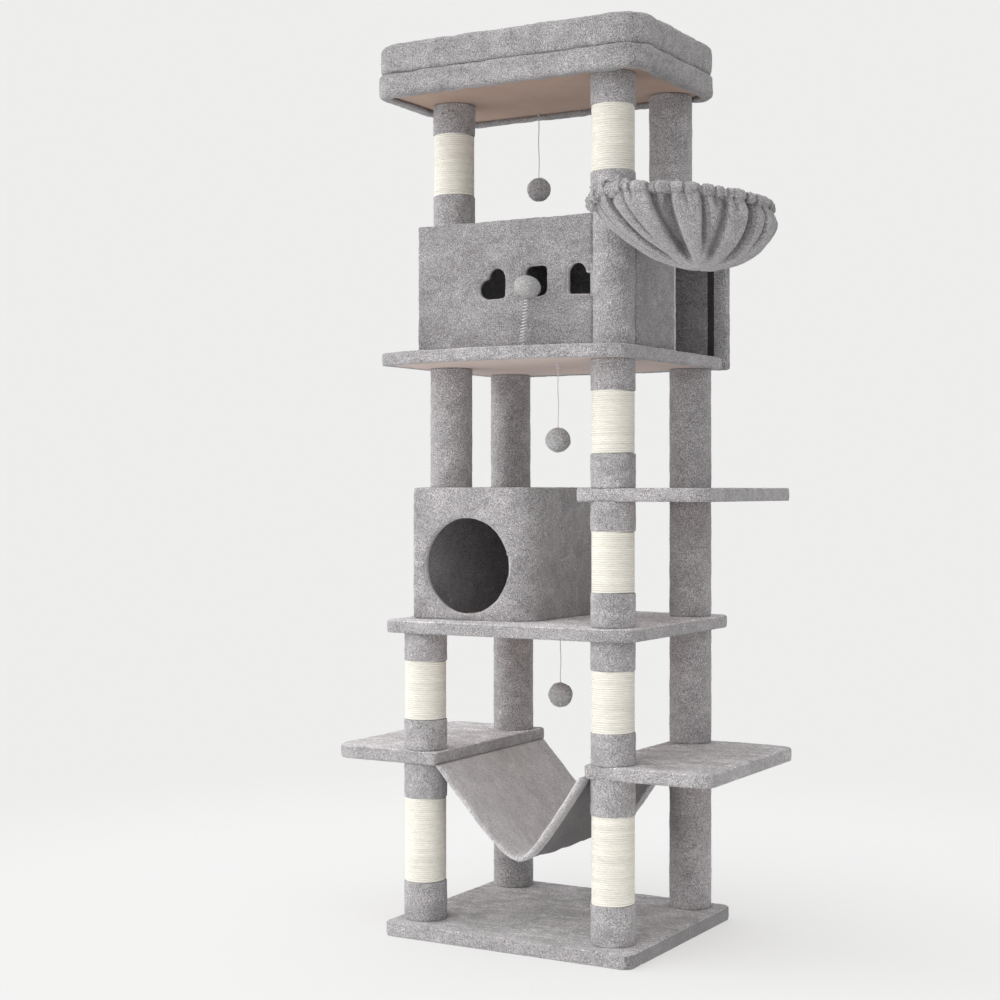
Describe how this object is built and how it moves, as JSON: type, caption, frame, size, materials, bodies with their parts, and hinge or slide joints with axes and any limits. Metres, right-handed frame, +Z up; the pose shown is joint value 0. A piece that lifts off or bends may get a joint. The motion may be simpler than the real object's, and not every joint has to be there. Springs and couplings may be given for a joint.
{
  "type": "cat tree",
  "caption": "Tall multi-level cat tree with sisal-wrapped posts, two houses, hammock, hanging basket, top bed, pompoms and a spring toy.",
  "frame": {"origin": "centre of the base's underside", "axes": "+X to the right along the base's front, +Y to the back, +Z up"},
  "size_m": [1.0647, 0.7648, 1.94],
  "materials": {
    "plush": "matte",
    "sisal": "matte",
    "board": "matte",
    "cardboard": "matte",
    "steel": "satin",
    "string": "matte",
    "pompom": "matte",
    "spring": "satin",
    "spring_ball": "matte"
  },
  "bodies": {
    "tree": {"base_board": "board", "base_cover": "plush", "base_bolts": "steel", "left_shelf_board": "board", "left_shelf_cover": "plush", "right_shelf_board": "board", "right_shelf_cover": "plush", "hammock": "plush", "screws": "steel", "floor_2_board": "board", "floor_2_cover": "plush", "perch_board": "board", "perch_cover": "plush", "floor_4_board": "board", "floor_4_cover": "plush", "tubes_1": "cardboard", "tubes_2": "cardboard", "tubes_3": "cardboard", "tubes_4": "cardboard", "tubes_5": "cardboard", "sleeves_1": "plush", "sleeves_2": "plush", "sleeves_3": "plush", "sleeves_4": "plush", "sleeves_5": "plush", "sisal_1": "sisal", "sisal_2": "sisal", "sisal_3": "sisal", "sisal_4": "sisal", "sisal_5": "sisal", "end_plugs": "board", "studs": "steel", "house_1_front": "board", "house_1_right": "board", "house_1_back": "board", "house_1_left": "board", "house_1_roof": "board", "house_1_cover": "plush", "house_2_front": "board", "house_2_right": "board", "house_2_back": "board", "house_2_left": "board", "house_2_roof": "board", "house_2_cover": "plush", "bed_board": "board", "bed_band": "plush", "bed_bolster": "plush", "bed_cushion": "plush", "basket_hoop": "steel", "basket_bracket": "steel", "basket_bag": "plush", "toy_anchors": "steel"},
    "pompom_1": {"toy_string_1": "string", "pompom_1": "pompom"},
    "pompom_2": {"toy_string_2": "string", "pompom_2": "pompom"},
    "pompom_3": {"toy_string_3": "string", "pompom_3": "pompom"},
    "spring_ball": {"toy_spring": "spring", "spring_ball": "spring_ball"}
  },
  "joints": [
    {"name": "pompom_swing_1", "type": "hinge", "parent": "tree", "child": "pompom_1", "pos_m": [-0.11, 0.1, 1.8266], "axis": [0, 1, 0], "range_deg": [-50, 50]},
    {"name": "pompom_swing_2", "type": "hinge", "parent": "tree", "child": "pompom_2", "pos_m": [0.053, -0.11, 1.2336], "axis": [0, 1, 0], "range_deg": [-50, 50]},
    {"name": "pompom_swing_3", "type": "hinge", "parent": "tree", "child": "pompom_3", "pos_m": [0, 0, 0.6486], "axis": [0, 1, 0], "range_deg": [-50, 50]},
    {"name": "spring_ball_sway", "type": "hinge", "parent": "tree", "child": "spring_ball", "pos_m": [0.045, -0.255, 1.277], "axis": [0, 1, 0], "range_deg": [-30, 30], "stiffness_Nm_per_rad": 0.6}
  ]
}
